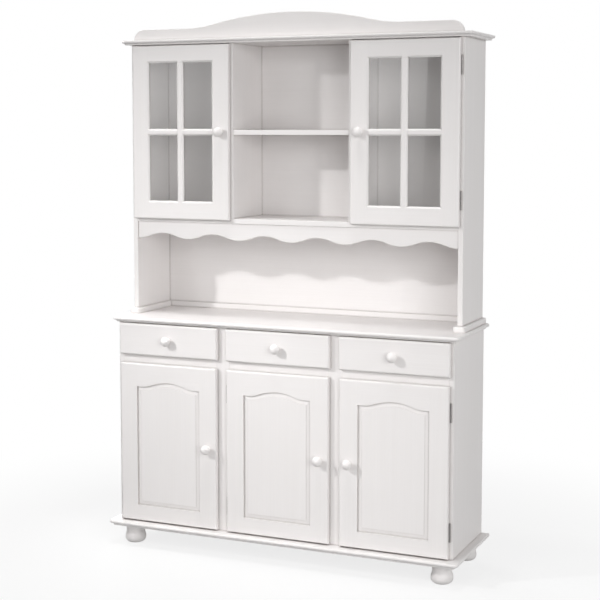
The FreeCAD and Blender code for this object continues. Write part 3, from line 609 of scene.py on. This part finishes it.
# %% Screws of one hinge and one knob
LEAF = 0.001
LEAF_MIDDLE = 0.0125
WRAP_MIDDLE = 0.008
SCREW_OFFSET = 0.021
HINGE_SCREW = 0.0034
HINGE_RECESS = 0.0006
KNOB_SCREW = 0.0042
KNOB_RECESS = 0.0014


def hinge_screws(frame_side, door_side, leaf, edge, back, hang):
    """Two screws through a frame leaf and two through the door leaf beside it."""
    low, high = box_of(leaf)
    wrap = low.x if hang > 0 else high.x
    for offset in (-SCREW_OFFSET, SCREW_OFFSET):
        level = (low.z + high.z) / 2 + offset
        screw(frame_side, (wrap, high.y - WRAP_MIDDLE, level), (-hang, 0, 0), HINGE_SCREW,
              FLAT_HEAD, HINGE_RECESS)
        screw(door_side, (edge - hang * LEAF_MIDDLE, back + LEAF, level), BACK, HINGE_SCREW,
              FLAT_HEAD, HINGE_RECESS)


def knob_screw(mesh, knob, back):
    """The screw that holds a knob, behind its board."""
    middle_x, middle_z = middle_of(knob)
    screw(mesh, (middle_x, back, middle_z), BACK, KNOB_SCREW, ROUND_HEAD, KNOB_RECESS)


def set_screws(name, mesh, body):
    """Turn a mesh of screw heads into a piece on a body."""
    bmesh.ops.recalc_face_normals(mesh, faces=mesh.faces)
    finish_piece(name, mesh, [screw_steel], body)


print(f"hinge screws {HINGE_SCREW * 2000:.1f} mm, knob screws {KNOB_SCREW * 2000:.1f} mm across")

# %% Screw down hinges and knobs
# The side that each door hangs on: -1 left, 1 right
DOORS = {"left_door": -1, "middle_door": -1, "right_door": 1,
         "left_glass_door": -1, "right_glass_door": 1}
DRAWERS = ("left", "middle", "right")

frame_leaves = solids_of("hinge_frame_leaves")
carcass_screws = bmesh.new()
for index, (door, hang) in enumerate(DOORS.items()):
    door_screws = bmesh.new()
    low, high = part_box(f"{door}_frame")
    edge = high[0] if hang > 0 else low[0]
    for leaf in frame_leaves[2 * index:2 * index + 2]:
        hinge_screws(carcass_screws, door_screws, leaf, edge, high[1], hang)
    knob_screw(door_screws, f"{door}_knob", high[1])
    set_screws(f"{door}_screws", door_screws, body_of_node[f"{door}_frame"])
set_screws("carcass_hinge_screws", carcass_screws, "carcass")

for name in DRAWERS:
    drawer_screw = bmesh.new()
    knob_screw(drawer_screw, f"{name}_drawer_knob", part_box(f"{name}_drawer_front")[1][1])
    set_screws(f"{name}_drawer_screw", drawer_screw, body_of_node[f"{name}_drawer_front"])
print(f"screws on {len(DOORS)} doors and {len(DRAWERS)} drawers")

# %% [markdown]
# ## Shelf pegs and panel pins
#
# The cupboard shelves lie on short metal pegs in the walls, and the thin backs are pinned to the
# partitions, shelves and floors in front of them. Both are small turned pieces set out in rows,
# so the rows are worked out from the boards themselves: a peg under each shelf corner, and pins
# at an even spacing along the line where a board meets the back.

# %% Shelf pegs
PEG_OUTLINE = ((0.0025, -0.002), (0.0025, 0.0072), (0.0018, 0.0084), (0.0004, 0.0088))
PEG_DROP = 0.0025
PEG_INSET = 0.045
SMALL_SEGMENTS = 16

pegs = bmesh.new()
peg_count = 0
for node in ("base_shelves", "hutch_side_shelves"):
    for shelf in solids_of(node):
        low, high = box_of(shelf)
        for wall, facing in ((low.x, 1), (high.x, -1)):
            for deep in (low.y + PEG_INSET, high.y - PEG_INSET):
                place = (wall, deep, low.z - PEG_DROP)
                turn(pegs, PEG_OUTLINE, place, (facing, 0, 0), SMALL_SEGMENTS)
                peg_count += 1
finish_piece("shelf_pegs", pegs, [screw_steel], "carcass")
print(f"set {peg_count} shelf pegs")

# %% Panel pins
PIN_OUTLINE = ((0.0017, -0.001), (0.0017, 0.0002), (0.0012, 0.0006), (0.0003, 0.0007))
PIN_SPACING = 0.12
PIN_MARGIN = 0.03
BACKED = {
    "base_back": ("base_partitions", "base_shelves"),
    "hutch_back": ("hutch_partitions", "hutch_floor", "hutch_centre_shelf", "hutch_side_shelves"),
}


def pin_row(mesh, start, stop):
    """Pins at an even spacing between two places on a back."""
    gaps = max(1, round((stop - start).length / PIN_SPACING))
    for step in range(gaps + 1):
        turn(mesh, PIN_OUTLINE, start.lerp(stop, step / gaps), BACK, SMALL_SEGMENTS)
    return gaps + 1


pins = bmesh.new()
pin_count = 0
for back, boards in BACKED.items():
    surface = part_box(back)[1][1]
    for node in boards:
        for faces in solids_of(node):
            low, high = box_of(faces)
            middle = (low + high) / 2
            upright = high.z - low.z > high.x - low.x
            if upright:
                ends = ((middle.x, low.z + PIN_MARGIN), (middle.x, high.z - PIN_MARGIN))
            else:
                ends = ((low.x + PIN_MARGIN, middle.z), (high.x - PIN_MARGIN, middle.z))
            pin_count += pin_row(pins, *(Vector((x, surface, z)) for x, z in ends))
finish_piece("panel_pins", pins, [screw_steel], "carcass")
print(f"drove {pin_count} panel pins")

# %% [markdown]
# ## The studio
#
# The dresser stands on a plain white floor before white space. The floor keeps the shadow: it is
# a diffuse plane that, for the eye only, is lifted towards pure white, wholly so a few metres
# away, where its horizon would show. For light that bounces up it is a mid grey, so that the
# undersides stay in shade. A small lamp high on the left throws the crisp shadows of the knobs
# and the scalloped apron down to the right. Its beam is narrow and aimed at the drawers, so the
# crest board stays a shade darker than the white behind it. Wide lamps on the right keep the
# side open, three from above light the slab, and one behind shows the back when it is turned.

# %% Floor white
FLOOR_NEAR, FLOOR_FAR = 0.7, 2.0
FLOOR_LIFT = 0.78
FLOOR_BOUNCE = (0.45, 0.45, 0.45)
FLOOR_SEEN = (0.9, 0.9, 0.9)
WHITE = (1, 1, 1, 1)


def seen_rays(tree):
    """One where the eye sees a surface straight, mirrored or through glass."""
    rays = add_node(tree, "ShaderNodeLightPath").outputs
    straight = combine(tree, "MAXIMUM", rays["Is Camera Ray"], rays["Is Glossy Ray"])
    return combine(tree, "MAXIMUM", straight, rays["Is Transmission Ray"])


def floor_white():
    """A white that takes shadows near the middle and is pure far away."""
    material, tree, shader, place = new_finish("floor_white")
    seen = seen_rays(tree)
    set_sockets(tree, shader, Base_Color=blend_colour(tree, seen, FLOOR_BOUNCE, FLOOR_SEEN),
                Roughness=0.9, Specular_IOR_Level=0.1)
    away = add_node(tree, "ShaderNodeVectorMath", {"operation": "LENGTH"})
    link_in_order(tree, away, 0, place)
    fade = spread(tree, away.outputs["Value"], (FLOOR_NEAR, FLOOR_FAR), (FLOOR_LIFT, 1.0),
                  "SMOOTHSTEP")
    white = add_node(tree, "ShaderNodeEmission", Color=WHITE, Strength=1.0)
    mix_surface(tree, combine(tree, "MULTIPLY", seen, fade), shader.outputs["BSDF"],
                white.outputs["Emission"])
    return material


floor_finish = floor_white()
print("made", floor_finish.name)

# %% Floor
FLOOR_SIZE = 60.0

mesh = bmesh.new()
bmesh.ops.create_grid(mesh, x_segments=1, y_segments=1, size=FLOOR_SIZE / 2)
floor_data = bpy.data.meshes.new("studio_floor")
mesh.to_mesh(floor_data)
mesh.free()
floor_data.materials.append(floor_finish)
floor = bpy.data.objects.new("studio_floor", floor_data)
bpy.context.scene.collection.objects.link(floor)
print("floor laid")

# %% White space
AMBIENT = 0.24

world = bpy.data.worlds.new("white_space")
world.use_nodes = True
background = world.node_tree.nodes["Background"]
strength = spread(world.node_tree, seen_rays(world.node_tree), UNIT, (AMBIENT, 1.0))
set_sockets(world.node_tree, background, Color=WHITE, Strength=strength)
bpy.context.scene.world = world
print("white to the eye, and an even light of", AMBIENT)

# %% Lamps
# Place, target, width, beam in degrees and watts of each
LAMPS = {
    "key_lamp": ((-3.1, -3.0, 3.1), (0.0, -0.1, 0.72), 0.22, 36, 4.9),
    "left_lamp": ((-2.0, -4.2, 2.0), (-0.05, 0.0, 0.8), 2.2, 40, 2.5),
    "right_lamp": ((3.2, -3.4, 1.6), (0.1, 0.0, 0.75), 2.5, 100, 31.0),
    "side_lamp": ((4.2, -0.8, 1.2), (0.6, 0.0, 1.0), 2.5, 180, 20.0),
    "over_lamp": ((0.0, -0.28, 4.6), (0.0, -0.2, 0.9), 0.3, 180, 25.0),
    "slab_lamp": ((0.0, -0.9, 4.6), (0.0, -0.2, 0.9), 0.5, 30, 1.05),
    "corner_lamp": ((-0.75, -0.6, 4.4), (-0.62, -0.15, 0.86), 0.3, 14, 0.24),
    "back_lamp": ((-3.4, 3.6, 2.4), (0.0, 0.0, 0.9), 2.0, 180, 90.0),
}


def soft_lamp(name, place, target, size, beam, power):
    """A square soft lamp that faces a target with a beam of some degrees."""
    data = bpy.data.lights.new(name, "AREA")
    data.shape = "SQUARE"
    data.size = size
    data.spread = math.radians(beam)
    data.energy = power
    lamp = bpy.data.objects.new(name, data)
    lamp.location = place
    lamp.rotation_euler = (Vector(target) - Vector(place)).to_track_quat("-Z", "Y").to_euler()
    bpy.context.scene.collection.objects.link(lamp)


for name, setting in LAMPS.items():
    soft_lamp(name, *setting)
print(f"set {len(LAMPS)} lamps")

# %% [markdown]
# ## The camera
#
# The camera stands to the right of the middle, about level with the glazed doors' knobs, and
# looks slightly down. The photograph is cropped low, so its optical centre lies above the middle
# of the frame; a small vertical shift says so.

# %% Camera
CAMERA_PLACE = (1.9706, -4.4896, 1.5369)
CAMERA_YAW = math.radians(23.502)
CAMERA_DOWN = math.radians(5.016)
SENSOR = 36.0
# In pixels of the photograph
IMAGE_WIDTH = 600.0
FOCAL_LENGTH = 1368.5
CENTRE_RISE = 50.0

camera_data = bpy.data.cameras.new("camera")
camera_data.sensor_width = SENSOR
camera_data.lens = FOCAL_LENGTH / IMAGE_WIDTH * SENSOR
camera_data.shift_y = -CENTRE_RISE / IMAGE_WIDTH
camera = bpy.data.objects.new("camera", camera_data)
camera.location = CAMERA_PLACE
camera.rotation_euler = (math.pi / 2 - CAMERA_DOWN, 0.0, CAMERA_YAW)
bpy.context.scene.collection.objects.link(camera)
bpy.context.scene.camera = camera
bpy.context.scene.view_settings.view_transform = "Standard"
print(f"camera with a {camera_data.lens:.1f} mm lens")
